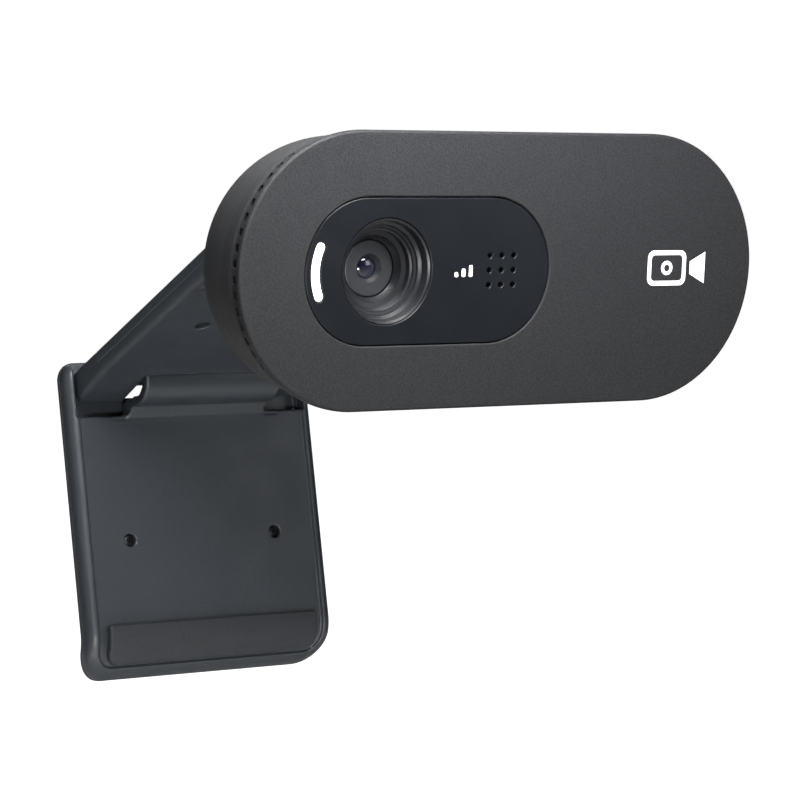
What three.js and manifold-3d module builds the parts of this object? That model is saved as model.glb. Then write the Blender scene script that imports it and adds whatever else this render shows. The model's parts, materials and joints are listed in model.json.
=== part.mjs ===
// A clip-on webcam: a long rounded camera head on a tilting hinge, an arm that rests on a monitor's
// top edge, and a flap that folds down behind the monitor.
// Millimetres, +Z up. The camera looks along -Y and +X is the viewer's right.
// The origin is the middle of the arm's flat underside, where the monitor's edge carries the webcam.

import * as THREE from 'three';
import { mergeVertices } from 'three/addons/utils/BufferGeometryUtils.js';
import Module from 'manifold-3d';

const wasm = await Module();
wasm.setup();

// ---------- driving dimensions ----------
const GAP = 0.3; // clearance between two separate pieces
const WALL = 1.5; // moulded wall thickness

// camera head
const HEAD_W = 72.9; // whole front outline
const HEAD_H = 31.9;
const COVER_THICK = 1.8; // front cover plate
const RIM_THICK = 0.8; // its edge, in front of the vent strip
const STRIP_INSET = 0.9; // the vent strip is this much smaller than the cover
const STRIP_END = 2.15;
const HOUSING_INSET = 0.45; // the housing's side band is this much smaller than the cover
const BAND_END = 5; // depth where the side band turns into the dome
const BAND_TAPER = 0.48;
const DOME_DEPTH = 13; // dome behind the band
const DOME_INSET = 11.2; // how far the dome draws in at the back
const HEAD_DEPTH = BAND_END + DOME_DEPTH;
const PANEL_W = 33.9; // dark inset panel around the lens
const PANEL_H = 17.0;
const PANEL_X = -10.9;
const PANEL_THICK = 1.4;
const PANEL_END_X = PANEL_X - (PANEL_W - PANEL_H) / 2; // centre of its left end
const LENS_X = -16.7;
const LENS_R = 6.1; // mouth of the lens funnel
const LENS_STEPS = 5; // baffle steps in the funnel
const FUNNEL_DEPTH = 3.2;
const BARREL_R = 3.3; // lens barrel
const BARREL_LENGTH = 5.2;
const LIGHT_R = 7.3; // status light arc, about the centre of the panel's left end
const LIGHT_W = 1.2;
const LIGHT_HALF_ANGLE = 23.5; // degrees
const MIC_X = -0.8; // middle of the 3 by 3 sound holes
const MIC_PITCH = 1.7;
const MIC_R = 0.33;
const BOARD_Y = 10.6; // front face of the circuit board
const BOARD_THICK = 1.2;
const HOUSING_SCREW_X = 29.8;
const BOSS_END_Y = 10.2; // end of the cover's screw bosses
const SCREW_SEAT_Y = 12.2; // seat of the housing screws' heads
const VENT_COUNT = 16; // pockets at each end of the vent strip
const VENT_PITCH = 7.5; // degrees around the end
const VENT_LENGTH = 1.2;
const VENT_WIDTH = 0.8;
const GROMMET_X = 17; // where the lead leaves the back of the head
const GROMMET_Z = 0;

// arm
const ARM_SLOPE = 31.25; // degrees that the arm falls towards the back
const ARM_W = 34.4;
const ARM_BASE_THICK = 1.6; // lower shell; the cover is the rest
const ARM_THICK = 3.2;
const ARM_FRONT = -19; // along the arm, from the origin
const ARM_CORNER = 3;
const LIP_DROP = 7; // hook in front of the monitor's bezel
const ARM_SCREW_X = 9.5;
const ARM_SCREW_SEAT = 0.6;
const FOLD_ALONG = 18.8; // fold hinge, along the arm and above its underside
const FOLD_ABOVE = 0.95;
const FOLD_PIN_HALF = ARM_W / 2 - 1;
const TILT_ALONG = -31; // tilt hinge, the same way
const TILT_ABOVE = 2.0;
const KNUCKLE_R = 2.8; // tilt hinge
const EAR_R = 4.1; // rear fingers end in this radius around the fold hinge
const EAR_FRONT = 14.7; // where the fingers leave the two shells, along the arm
const EAR_DROP = 0.5; // their tips reach this far below the underside
const EAR_CORNER = 2.2;
const CUT_OUT_HALF = 10.55; // opening between the two fingers
const NECK_HALF = 6; // half width of the arm's front knuckle

// head on the tilt hinge
const TILT_IN_HEAD_Y = 26.5; // hinge, behind the head's front face
const TILT_IN_HEAD_Z = 5.8;
const YOKE_OUTER_X = 9.6;
const YOKE_BASE_Y = HEAD_DEPTH + 0.1;
const YOKE_SCREW_X = 7;
const YOKE_SCREW_Z = -1.6;
const PIN_R = 1.0; // tilt pin
const FOLD_PIN_R = 0.75;

// flap
const FLAP_LEAN = 14.9; // degrees that the flap leans forward going down
const FLAP_W = 37.4;
const FLAP_LENGTH = 38.7; // from the hinge to the lower end
const FLAP_SHOULDER = 3.2; // above the hinge
const FLAP_FACE = 1.8; // front face of the flap, behind the hinge axis
const FLAP_THICK = 3.7;
const FLAP_BASE_THICK = 2.0; // front shell; the back cover is the rest
const FLAP_SPLIT = FLAP_FACE + FLAP_BASE_THICK;
const FLAP_BACK = FLAP_FACE + FLAP_THICK;
const FLAP_TOP_CORNER = 2.4;
const FLAP_BOTTOM_CORNER = 4;
const FLAP_RIM = 0.9; // width of the raised rim
const FLAP_RECESS = 0.5; // depth of the face inside the rim
const FLAP_POCKET = -4.3; // the face starts here; above it is room for the knuckles
const FLAP_WALL_TOP = -1.8; // the flap ends here behind its rolled edge
const FLAP_CURL_START = 33; // the last stretch curves backwards
const FLAP_CURL = 3.6;
const ROLL_R = 3.4; // rolled top edge of the flap, between the arm's knuckles
const ROLL_HALF = 10.25;
const ROLL_X = 0.65; // middle of the rolled edge
const FLAP_SCREW_X = 11.15;
const FLAP_SCREW_Z = -20.8;
const FLAP_SCREW_SEAT = 3.1;
const SLEEVE_R = 2.05; // friction sleeve inside the rolled edge
const PAD_HALF = 15.9;
const PAD_TOP = -31.8;
const PAD_PROUD = 0.6;

// ---------- materials ----------
function finish(color, roughness, metalness = 0) {
  return new THREE.MeshStandardMaterial({ color, roughness, metalness });
}

const graphite = finish(0x2b2c2f, 0.75);
const panelBlack = finish(0x16181b, 0.45);
const charcoal = finish(0x2a2e33, 0.5);
const rubberBlack = finish(0x1b1c1e, 0.9);
const lightWhite = finish(0xf4f7ff, 0.3);
const glassDark = finish(0x10141c, 0.05);
const steel = finish(0x9a9da1, 0.35, 1);
const boardGreen = finish(0x1f4a30, 0.6);
const chipBlack = finish(0x151515, 0.5);
const tinBright = finish(0xc4c6c8, 0.3, 1);
const nylonBlack = finish(0x101113, 0.6);

// ---------- solids ----------
function toSolid(geometry) {
  const bare = geometry.clone();
  bare.deleteAttribute('normal');
  bare.deleteAttribute('uv');
  const merged = mergeVertices(bare, 1e-4);
  const corners = merged.index.array;
  const kept = [];
  for (let i = 0; i < corners.length; i += 3) {
    const [a, b, c] = [corners[i], corners[i + 1], corners[i + 2]];
    if (a !== b && b !== c && c !== a) kept.push(a, b, c);
  }
  return new wasm.Manifold(new wasm.Mesh({
    numProp: 3,
    vertProperties: new Float32Array(merged.attributes.position.array),
    triVerts: new Uint32Array(kept),
  }));
}

function toMesh(name, solid, material) {
  const data = solid.getMesh();
  const geometry = new THREE.BufferGeometry();
  geometry.setAttribute('position', new THREE.BufferAttribute(data.vertProperties, 3));
  geometry.setIndex(new THREE.BufferAttribute(data.triVerts, 1));
  geometry.computeVertexNormals();
  const mesh = new THREE.Mesh(geometry, material);
  mesh.name = name;
  return mesh;
}

function box(x0, x1, y0, y1, z0, z1) {
  const geometry = new THREE.BoxGeometry(x1 - x0, y1 - y0, z1 - z0);
  geometry.translate((x0 + x1) / 2, (y0 + y1) / 2, (z0 + z1) / 2);
  return toSolid(geometry);
}

// An outline drawn in X and Z, filled from depth y0 to y1.
function slab(shape, y0, y1, curveSegments = 14) {
  const geometry = new THREE.ExtrudeGeometry(shape, {
    depth: y1 - y0, bevelEnabled: false, curveSegments,
  });
  geometry.rotateX(Math.PI / 2);
  geometry.translate(0, y1, 0);
  return toSolid(geometry);
}

// An outline drawn in Y and Z, filled from x0 to x1.
function crossSection(shape, x0, x1, curveSegments = 10) {
  const geometry = new THREE.ExtrudeGeometry(shape, {
    depth: x1 - x0, bevelEnabled: false, curveSegments,
  });
  const turn = new THREE.Matrix4().makeBasis(
    new THREE.Vector3(0, 1, 0), new THREE.Vector3(0, 0, 1), new THREE.Vector3(1, 0, 0));
  geometry.applyMatrix4(turn);
  geometry.translate(x0, 0, 0);
  return toSolid(geometry);
}

// A cylinder along X.
function rod(radius, x0, x1, y = 0, z = 0, segments = 20) {
  const geometry = new THREE.CylinderGeometry(radius, radius, x1 - x0, segments);
  geometry.rotateZ(-Math.PI / 2);
  geometry.translate((x0 + x1) / 2, y, z);
  return toSolid(geometry);
}

// A cylinder along Y.
function post(radius, y0, y1, x = 0, z = 0, segments = 20) {
  const geometry = new THREE.CylinderGeometry(radius, radius, y1 - y0, segments);
  geometry.translate(x, (y0 + y1) / 2, z);
  return toSolid(geometry);
}

// A body of revolution about Y, from [radius, y] points.
function turned(points, x = 0, z = 0, segments = 28) {
  const geometry = new THREE.LatheGeometry(points.map(([r, y]) => new THREE.Vector2(r, y)), segments);
  geometry.translate(x, 0, z);
  return toSolid(geometry);
}

function stadium(width, height, x = 0) {
  const r = height / 2;
  const side = width / 2 - r;
  const shape = new THREE.Shape();
  shape.moveTo(x - side, -r);
  shape.lineTo(x + side, -r);
  shape.absarc(x + side, 0, r, -Math.PI / 2, Math.PI / 2);
  shape.lineTo(x - side, r);
  shape.absarc(x - side, 0, r, Math.PI / 2, Math.PI * 1.5);
  return shape;
}

function roundedRect(x0, x1, z0, z1, topCorner, bottomCorner) {
  const shape = new THREE.Shape();
  shape.moveTo(x0 + bottomCorner, z0);
  shape.lineTo(x1 - bottomCorner, z0);
  shape.absarc(x1 - bottomCorner, z0 + bottomCorner, bottomCorner, -Math.PI / 2, 0);
  shape.lineTo(x1, z1 - topCorner);
  shape.absarc(x1 - topCorner, z1 - topCorner, topCorner, 0, Math.PI / 2);
  shape.lineTo(x0 + topCorner, z1);
  shape.absarc(x0 + topCorner, z1 - topCorner, topCorner, Math.PI / 2, Math.PI);
  shape.lineTo(x0, z0 + bottomCorner);
  shape.absarc(x0 + bottomCorner, z0 + bottomCorner, bottomCorner, Math.PI, Math.PI * 1.5);
  return shape;
}

// A closed skin through rings that all have the same number of points, front ring first.
function loft(rings) {
  const count = rings[0].length;
  const positions = rings.flat().flatMap((p) => [p.x, p.y, p.z]);
  const corners = [];
  for (let ring = 0; ring < rings.length - 1; ring += 1) {
    for (let i = 0; i < count; i += 1) {
      const a = ring * count + i;
      const b = ring * count + (i + 1) % count;
      corners.push(a, b, b + count, a, b + count, a + count);
    }
  }
  const last = (rings.length - 1) * count;
  for (let i = 1; i < count - 1; i += 1) {
    corners.push(0, i + 1, i);
    corners.push(last, last + i, last + i + 1);
  }
  const geometry = new THREE.BufferGeometry();
  geometry.setAttribute('position', new THREE.Float32BufferAttribute(positions, 3));
  geometry.setIndex(corners);
  return toSolid(geometry);
}

// A stadium ring at depth y, running so that a loft towards +Y faces out.
function stadiumRing(width, height, y, perEnd = 14) {
  const r = height / 2;
  const side = width / 2 - r;
  const ring = [];
  for (const [centre, start] of [[side, Math.PI / 2], [-side, -Math.PI / 2]]) {
    for (let i = 0; i <= perEnd; i += 1) {
      const angle = start - (Math.PI * i) / perEnd;
      ring.push(new THREE.Vector3(centre + r * Math.cos(angle), y, r * Math.sin(angle)));
    }
  }
  return ring;
}

// A pan-head screw with a cross recess, its head's seat at y = 0 and its tip towards -Y.
function screw(headRadius, shankRadius, length) {
  const headHeight = headRadius * 0.6;
  const body = turned([
    [0, -length], [shankRadius * 0.6, -length], [shankRadius, -length + 1], [shankRadius, 0],
    [headRadius, 0], [headRadius, headHeight * 0.6], [headRadius * 0.7, headHeight], [0, headHeight],
  ], 0, 0, 16);
  const slotHalf = headRadius * 0.62;
  const slotWidth = headRadius * 0.14;
  const floor = headHeight * 0.35;
  const recess = box(-slotHalf, slotHalf, floor, headHeight + 1, -slotWidth, slotWidth)
    .add(box(-slotWidth, slotWidth, floor, headHeight + 1, -slotHalf, slotHalf));
  return body.subtract(recess);
}

// ---------- camera head (local origin: middle of the front face, +Y into the head) ----------
function lightShape(margin) {
  const outer = LIGHT_R + LIGHT_W / 2 + margin;
  const inner = LIGHT_R - LIGHT_W / 2 - margin;
  const half = THREE.MathUtils.degToRad(LIGHT_HALF_ANGLE);
  const shape = new THREE.Shape();
  shape.absarc(PANEL_END_X, 0, outer, Math.PI - half, Math.PI + half);
  shape.absarc(
    PANEL_END_X - LIGHT_R * Math.cos(half), -LIGHT_R * Math.sin(half), LIGHT_W / 2 + margin,
    Math.PI + half, Math.PI * 2 + half);
  shape.absarc(PANEL_END_X, 0, inner, Math.PI + half, Math.PI - half, true);
  shape.absarc(
    PANEL_END_X - LIGHT_R * Math.cos(half), LIGHT_R * Math.sin(half), LIGHT_W / 2 + margin,
    -half, Math.PI - half);
  return shape;
}

// Small pockets around both round ends of the strip behind the cover's edge.
function ventPockets() {
  const depth = (RIM_THICK + STRIP_END) / 2;
  const reach = HEAD_H / 2 - STRIP_INSET;
  let pockets = null;
  for (const side of [-1, 1]) {
    for (let i = 0; i < VENT_COUNT; i += 1) {
      const angle = THREE.MathUtils.degToRad((i - (VENT_COUNT - 1) / 2) * VENT_PITCH);
      const geometry = new THREE.BoxGeometry(2, VENT_WIDTH, VENT_LENGTH);
      geometry.translate(reach, depth, 0);
      geometry.rotateY(side * angle);
      geometry.translate((HEAD_W - HEAD_H) / 2, 0, 0);
      if (side < 0) geometry.rotateY(Math.PI);
      const pocket = toSolid(geometry);
      pockets = pockets ? pockets.add(pocket) : pocket;
    }
  }
  return pockets;
}

function frontCover() {
  const edge = 0.3;
  const ringInset = (inset) => stadium(HEAD_W - 2 * inset, HEAD_H - 2 * inset);
  const plate = loft([
    stadiumRing(HEAD_W - 2 * edge, HEAD_H - 2 * edge, 0),
    stadiumRing(HEAD_W, HEAD_H, edge),
    stadiumRing(HEAD_W, HEAD_H, RIM_THICK),
  ]);
  const core = slab(ringInset(STRIP_INSET), RIM_THICK - 0.1, STRIP_END).subtract(ventPockets());
  const skirtInset = HOUSING_INSET + WALL + GAP + BAND_TAPER / 2;
  const skirt = slab(ringInset(skirtInset), STRIP_END - 0.1, 4.4);
  const hollow = slab(ringInset(skirtInset + 1.2), COVER_THICK, 6);
  const window = slab(stadium(PANEL_W, PANEL_H, PANEL_X), -1, COVER_THICK + 1);
  const ledge = slab(stadium(PANEL_W + 4, PANEL_H + 4, PANEL_X), COVER_THICK - 0.2, 3)
    .subtract(slab(stadium(PANEL_W - 1.6, PANEL_H - 1.6, PANEL_X), 0, 4));
  let cover = plate.add(core).add(skirt).subtract(hollow).subtract(window).add(ledge);
  cover = cover.subtract(slab(lightShape(GAP), -1, 9, 8));
  for (const side of [-1, 1]) {
    const boss = post(2.0, COVER_THICK - 0.4, BOSS_END_Y, side * HOUSING_SCREW_X)
      .subtract(post(0.75, 3, 16, side * HOUSING_SCREW_X, 0, 12));
    cover = cover.add(boss);
  }
  return toMesh('front_cover', cover, graphite);
}

function lensPanel() {
  const rim = 0.2;
  let panel = slab(stadium(PANEL_W - 2 * rim, PANEL_H - 2 * rim, PANEL_X), 0.2, PANEL_THICK);
  panel = panel.subtract(post(LENS_R, -1, 3, LENS_X, 0, 36));
  panel = panel.subtract(slab(lightShape(0.1), -1, 3, 8));
  for (const column of [-1, 0, 1]) {
    for (const row of [-1, 0, 1]) {
      panel = panel.subtract(post(MIC_R, -1, 3, MIC_X + column * MIC_PITCH, row * MIC_PITCH, 8));
    }
  }
  return toMesh('lens_panel', panel, panelBlack);
}

function statusLightPipe() {
  const lens = slab(lightShape(0), 0.1, 4, 8);
  const flange = box(PANEL_END_X - 6.6, PANEL_END_X - 4.8, 3.4, 8, -2, 2);
  return toMesh('status_light_pipe', lens.add(flange), lightWhite);
}

function lensFunnel() {
  const profile = [[LENS_R - GAP, 0.35]];
  const stepIn = (LENS_R - GAP - 0.35 - BARREL_R - 0.2) / LENS_STEPS;
  const stepBack = (FUNNEL_DEPTH - 0.35) / LENS_STEPS;
  for (let i = 0; i < LENS_STEPS; i += 1) {
    const r = LENS_R - GAP - 0.35 - i * stepIn;
    profile.push([r, 0.35 + i * stepBack], [r - 0.15, 0.35 + (i + 1) * stepBack]);
  }
  profile.push([BARREL_R + 0.2, FUNNEL_DEPTH], [BARREL_R + 0.2, 5], [BARREL_R + 1.4, 5]);
  profile.push([LENS_R + 1, 3.4], [LENS_R + 1, PANEL_THICK + GAP]);
  profile.push([LENS_R - GAP, PANEL_THICK + GAP], [LENS_R - GAP, 0.35]);
  return toMesh('lens_funnel', turned(profile.reverse(), LENS_X, 0, 30), panelBlack);
}

function lensBarrel() {
  const back = FUNNEL_DEPTH + BARREL_LENGTH;
  const solid = turned([
    [1.25, FUNNEL_DEPTH + 0.6], [2.0, FUNNEL_DEPTH], [BARREL_R - 0.2, FUNNEL_DEPTH],
    [BARREL_R, FUNNEL_DEPTH + 0.2], [BARREL_R, back], [2.2, back], [2.2, FUNNEL_DEPTH + 1.1],
    [1.25, FUNNEL_DEPTH + 1.1], [1.25, FUNNEL_DEPTH + 0.6],
  ], LENS_X, 0, 28);
  return toMesh('lens_barrel', solid, nylonBlack);
}

function frontLens() {
  const front = FUNNEL_DEPTH + 1.1 + 0.1;
  const solid = turned([
    [0, front - 0.5], [0.6, front - 0.4], [1.05, front], [2.0, front], [2.0, front + 1.2], [0, front + 0.9],
  ], LENS_X, 0, 20);
  return toMesh('front_lens', solid, glassDark);
}

function rearLens() {
  const front = FUNNEL_DEPTH + 4;
  const solid = turned([
    [0, front], [2.0, front + 0.4], [2.0, front + 1.4], [0, front + 1.8],
  ], LENS_X, 0, 20);
  return toMesh('rear_lens', solid, glassDark);
}

function lensHolder() {
  const half = 4.6;
  const base = box(LENS_X - half, LENS_X + half, BOARD_Y - 1.9, BOARD_Y - 0.05, -half, half);
  const collar = post(BARREL_R + 1.3, 5.6, BOARD_Y - 1.7, LENS_X, 0, 28);
  const bore = post(BARREL_R + 0.1, 5, BOARD_Y - 1.5, LENS_X, 0, 28);
  const window = box(LENS_X - 3.4, LENS_X + 3.4, BOARD_Y - 1.6, BOARD_Y + 1, -3.4, 3.4);
  return toMesh('lens_holder', base.add(collar).subtract(bore).subtract(window), nylonBlack);
}

function imageSensor() {
  const solid = box(LENS_X - 2.6, LENS_X + 2.6, BOARD_Y - 0.85, BOARD_Y - 0.05, -2.6, 2.6);
  return toMesh('image_sensor', solid, chipBlack);
}

function infraredFilter() {
  const solid = box(LENS_X - 3.1, LENS_X + 3.1, BOARD_Y - 1.45, BOARD_Y - 1.05, -3.1, 3.1);
  return toMesh('infrared_filter', solid, glassDark);
}

function cameraBoard() {
  const solid = box(-25.6, 9.5, BOARD_Y, BOARD_Y + BOARD_THICK, -9.5, 9.5);
  return toMesh('camera_board', solid, boardGreen);
}

function statusLed() {
  return toMesh('status_led', box(-25.4, -24, BOARD_Y - 1.1, BOARD_Y - 0.05, -0.8, 0.8), lightWhite);
}

function processorChip() {
  const back = BOARD_Y + BOARD_THICK;
  return toMesh('processor_chip', box(-20, -13, back + 0.05, back + 1.05, -3.5, 3.5), chipBlack);
}

function clockCrystal() {
  const back = BOARD_Y + BOARD_THICK;
  return toMesh('clock_crystal', box(-10.5, -7, back + 0.05, back + 1.6, 3, 5), tinBright);
}

function microphoneCapsule() {
  return toMesh('microphone_capsule', post(2.0, 5.4, 8.2, MIC_X, 0, 24), tinBright);
}

function microphoneBoot() {
  const solid = post(3.4, PANEL_THICK + GAP, 8.6, MIC_X, 0, 24)
    .subtract(post(2.05, 5.2, 9.2, MIC_X, 0, 24))
    .subtract(post(2.6, 0, 3.2, MIC_X, 0, 24))
    .subtract(post(1.0, 0, 6, MIC_X, 0, 12));
  return toMesh('microphone_boot', solid, rubberBlack);
}

function cableSocket() {
  const back = BOARD_Y + BOARD_THICK;
  const solid = box(1, 8, back + 0.05, back + 2.8, -7, -3.4)
    .subtract(box(1.6, 7.4, back + 1, back + 5, -6.4, -4));
  return toMesh('cable_socket', solid, lightWhite);
}

// The housing's outline at each depth: a nearly straight band, then a quarter-round dome.
function housingRings(inset, start, depth) {
  const rings = [];
  const width = HEAD_W - 2 * (HOUSING_INSET + inset);
  const height = HEAD_H - 2 * (HOUSING_INSET + inset);
  rings.push(stadiumRing(width, height, start));
  const steps = 7;
  for (let i = 0; i <= steps; i += 1) {
    const angle = (i / steps) * (Math.PI / 2);
    const drawIn = 2 * (BAND_TAPER + DOME_INSET * (1 - Math.cos(angle)));
    const y = BAND_END + (depth - BAND_END) * Math.sin(angle);
    rings.push(stadiumRing(width - drawIn, height - drawIn, y));
  }
  return rings;
}

function rearHousing() {
  const outer = loft(housingRings(0, STRIP_END + 0.15, HEAD_DEPTH));
  const inner = loft(housingRings(WALL, -1, HEAD_DEPTH - WALL));
  let shell = outer.subtract(inner);
  for (const side of [-1, 1]) {
    const x = side * HOUSING_SCREW_X;
    const sleeve = post(3.3, BOSS_END_Y + GAP, 23, x, 0, 20).intersect(outer);
    shell = shell.add(sleeve);
    shell = shell.subtract(post(0.9, 9, 30, x, 0, 16)).subtract(post(2.3, SCREW_SEAT_Y, 30, x, 0, 20));
  }
  shell = shell.subtract(post(2.9, 14, 30, GROMMET_X, GROMMET_Z, 24));
  for (const side of [-1, 1]) {
    shell = shell.subtract(post(0.9, 14, 30, side * YOKE_SCREW_X, YOKE_SCREW_Z, 12));
  }
  return toMesh('rear_housing', shell, graphite);
}

function cableGrommet() {
  const solid = turned([
    [1.75, 14.6], [3.2, 14.6], [3.2, HEAD_DEPTH - WALL - GAP], [2.6, HEAD_DEPTH - WALL - GAP],
    [2.6, HEAD_DEPTH + GAP], [3.6, HEAD_DEPTH + GAP], [3.2, HEAD_DEPTH + 1.3],
    [2.3, HEAD_DEPTH + 2.4], [1.75, HEAD_DEPTH + 2.4], [1.75, 14.6],
  ], GROMMET_X, GROMMET_Z, 24);
  return toMesh('cable_grommet', solid, rubberBlack);
}

function housingScrew(side) {
  const mesh = toMesh(side < 0 ? 'housing_screw_left' : 'housing_screw_right', screw(2.0, 0.7, 8.5), steel);
  mesh.position.set(side * HOUSING_SCREW_X, SCREW_SEAT_Y + 0.1, 0);
  return mesh;
}

// ---------- tilt hinge, on the back of the head ----------
function tiltYoke() {
  const baseShape = roundedRect(-YOKE_OUTER_X, YOKE_OUTER_X, -3.6, 5.2, 1.5, 1.5);
  let yoke = slab(baseShape, YOKE_BASE_Y, YOKE_BASE_Y + 1.4, 5);
  for (const side of [-1, 1]) {
    const [x0, x1] = [NECK_HALF + 0.7, YOKE_OUTER_X].map((x) => x * side).sort((a, b) => a - b);
    const cheek = new THREE.Shape();
    cheek.moveTo(YOKE_BASE_Y + 0.7, TILT_IN_HEAD_Z - KNUCKLE_R);
    cheek.lineTo(TILT_IN_HEAD_Y, TILT_IN_HEAD_Z - KNUCKLE_R);
    cheek.absarc(TILT_IN_HEAD_Y, TILT_IN_HEAD_Z, KNUCKLE_R, -Math.PI / 2, Math.PI / 2);
    cheek.lineTo(YOKE_BASE_Y + 0.7, TILT_IN_HEAD_Z + KNUCKLE_R - 0.4);
    yoke = yoke.add(crossSection(cheek, x0, x1));
    yoke = yoke.subtract(post(0.95, 14, 40, side * YOKE_SCREW_X, YOKE_SCREW_Z, 12));
  }
  yoke = yoke.subtract(rod(PIN_R + 0.05, -12, 12, TILT_IN_HEAD_Y, TILT_IN_HEAD_Z, 20));
  return toMesh('tilt_yoke', yoke, charcoal);
}

function yokeScrew(side) {
  const mesh = toMesh(side < 0 ? 'yoke_screw_left' : 'yoke_screw_right', screw(1.5, 0.7, 5), steel);
  mesh.position.set(side * YOKE_SCREW_X, YOKE_BASE_Y + 1.45, YOKE_SCREW_Z);
  return mesh;
}

function tiltPin() {
  const pin = rod(PIN_R, -YOKE_OUTER_X - 0.2, YOKE_OUTER_X + 0.2, TILT_IN_HEAD_Y, TILT_IN_HEAD_Z, 20);
  return toMesh('tilt_pin', pin, steel);
}

function tiltWasher(side) {
  const [x0, x1] = [NECK_HALF + 0.15, NECK_HALF + 0.55].map((x) => x * side).sort((a, b) => a - b);
  const ring = rod(2.4, x0, x1, TILT_IN_HEAD_Y, TILT_IN_HEAD_Z, 20)
    .subtract(rod(PIN_R + 0.06, x0 - 1, x1 + 1, TILT_IN_HEAD_Y, TILT_IN_HEAD_Z, 20));
  return toMesh(side < 0 ? 'tilt_washer_left' : 'tilt_washer_right', ring, steel);
}

// ---------- arm (local origin on its underside, +Y along the arm to the back, +Z above it) ----------
function earSection() {
  const shape = new THREE.Shape();
  shape.moveTo(EAR_FRONT - 1, 0);
  const lowAngle = -Math.asin((FOLD_ABOVE + EAR_DROP) / EAR_R);
  const highAngle = Math.asin((ARM_THICK - FOLD_ABOVE) / EAR_R);
  shape.absarc(FOLD_ALONG, FOLD_ABOVE, EAR_R, lowAngle, highAngle);
  shape.lineTo(EAR_FRONT, ARM_THICK);
  shape.lineTo(EAR_FRONT, ARM_BASE_THICK);
  shape.lineTo(EAR_FRONT - 1, ARM_BASE_THICK);
  return shape;
}

// The fingers' outline from above, with round corners at the back.
function earOutline() {
  const half = ARM_W / 2;
  const shape = roundedRect(-half, half, 0, FOLD_ALONG + EAR_R, EAR_CORNER, 0.1);
  const geometry = new THREE.ExtrudeGeometry(shape, { depth: 20, bevelEnabled: false, curveSegments: 6 });
  geometry.translate(0, 0, -10);
  return toSolid(geometry);
}

function armPlate(z0, z1, margin) {
  const half = ARM_W / 2 - margin;
  const shape = roundedRect(-half, half, ARM_FRONT + margin, FOLD_ALONG, 0.4, ARM_CORNER);
  const geometry = new THREE.ExtrudeGeometry(shape, {
    depth: z1 - z0, bevelEnabled: false, curveSegments: 6,
  });
  geometry.translate(0, 0, z0);
  return toSolid(geometry);
}

// The opening between the rear fingers, where the flap's rolled edge turns.
function rollCutOut() {
  const [x0, x1] = [ROLL_X - CUT_OUT_HALF, ROLL_X + CUT_OUT_HALF];
  return rod(ROLL_R + GAP, x0, x1, FOLD_ALONG, FOLD_ABOVE, 28).add(box(x0, x1, FOLD_ALONG, 30, -6, 6));
}

function armBase() {
  const half = ARM_W / 2;
  let arm = armPlate(0, ARM_BASE_THICK, 0).subtract(box(-20, 20, EAR_FRONT - 0.5, 30, -5, 5));
  arm = arm.add(crossSection(earSection(), -half, half).intersect(earOutline())).subtract(rollCutOut());

  const lip = new THREE.Shape();
  lip.moveTo(ARM_FRONT + 0.3, ARM_BASE_THICK);
  lip.lineTo(ARM_FRONT + 0.3, -LIP_DROP + 1);
  lip.quadraticCurveTo(ARM_FRONT + 0.3, -LIP_DROP, ARM_FRONT + 1.3, -LIP_DROP);
  lip.lineTo(ARM_FRONT + 1.8, -LIP_DROP);
  lip.lineTo(ARM_FRONT + 2.1, ARM_BASE_THICK);
  arm = arm.add(crossSection(lip, -half + ARM_CORNER, half - ARM_CORNER, 5));

  const neck = new THREE.Shape();
  neck.moveTo(ARM_FRONT + 1, 0);
  neck.lineTo(ARM_FRONT + 1, ARM_THICK);
  neck.lineTo(TILT_ALONG, TILT_ABOVE + KNUCKLE_R - 0.2);
  neck.absarc(TILT_ALONG, TILT_ABOVE, KNUCKLE_R - 0.2, Math.PI / 2, Math.PI * 1.5);
  arm = arm.add(crossSection(neck, -NECK_HALF, NECK_HALF));
  arm = arm.subtract(rod(PIN_R + 0.06, -8, 8, TILT_ALONG, TILT_ABOVE, 20));
  const pinHalf = FOLD_PIN_HALF + 0.1;
  arm = arm.subtract(rod(FOLD_PIN_R + 0.05, -pinHalf, pinHalf, FOLD_ALONG, FOLD_ABOVE, 20));

  for (const side of [-1, 1]) {
    const x = side * ARM_SCREW_X;
    arm = arm.subtract(upright(1.0, -1, ARM_SCREW_SEAT, x)).subtract(upright(0.6, -1, 2, x));
  }
  return toMesh('arm_base', arm, charcoal);
}

// A cylinder along Z at the arm's middle.
function upright(radius, z0, z1, x) {
  const geometry = new THREE.CylinderGeometry(radius, radius, z1 - z0, 16);
  geometry.rotateX(Math.PI / 2);
  geometry.translate(x, 0, (z0 + z1) / 2);
  return toSolid(geometry);
}

function armScrew(side) {
  const mesh = toMesh(side < 0 ? 'arm_screw_left' : 'arm_screw_right', screw(0.9, 0.45, 2.0), steel);
  mesh.rotation.x = -Math.PI / 2;
  mesh.position.set(side * ARM_SCREW_X, 0, ARM_SCREW_SEAT - 0.03);
  return mesh;
}

function armCover() {
  let cover = armPlate(ARM_BASE_THICK + 0.1, ARM_THICK, 0)
    .subtract(box(-20, 20, EAR_FRONT - GAP / 2, 30, -5, 5));
  cover = cover.subtract(box(-NECK_HALF - GAP, NECK_HALF + GAP, -30, ARM_FRONT + 1 + GAP, 0, 9));
  cover = cover.subtract(rollCutOut());
  for (const side of [-1, 1]) {
    cover = cover.subtract(upright(0.55, 0, ARM_THICK - 0.5, side * ARM_SCREW_X));
  }
  return toMesh('arm_cover', cover, charcoal);
}

function lipPad() {
  const rear = ARM_FRONT + 2.1 + GAP;
  const solid = box(-11, 11, rear, rear + 0.9, -LIP_DROP + 0.6, -GAP);
  return toMesh('lip_pad', solid, rubberBlack);
}

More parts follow.
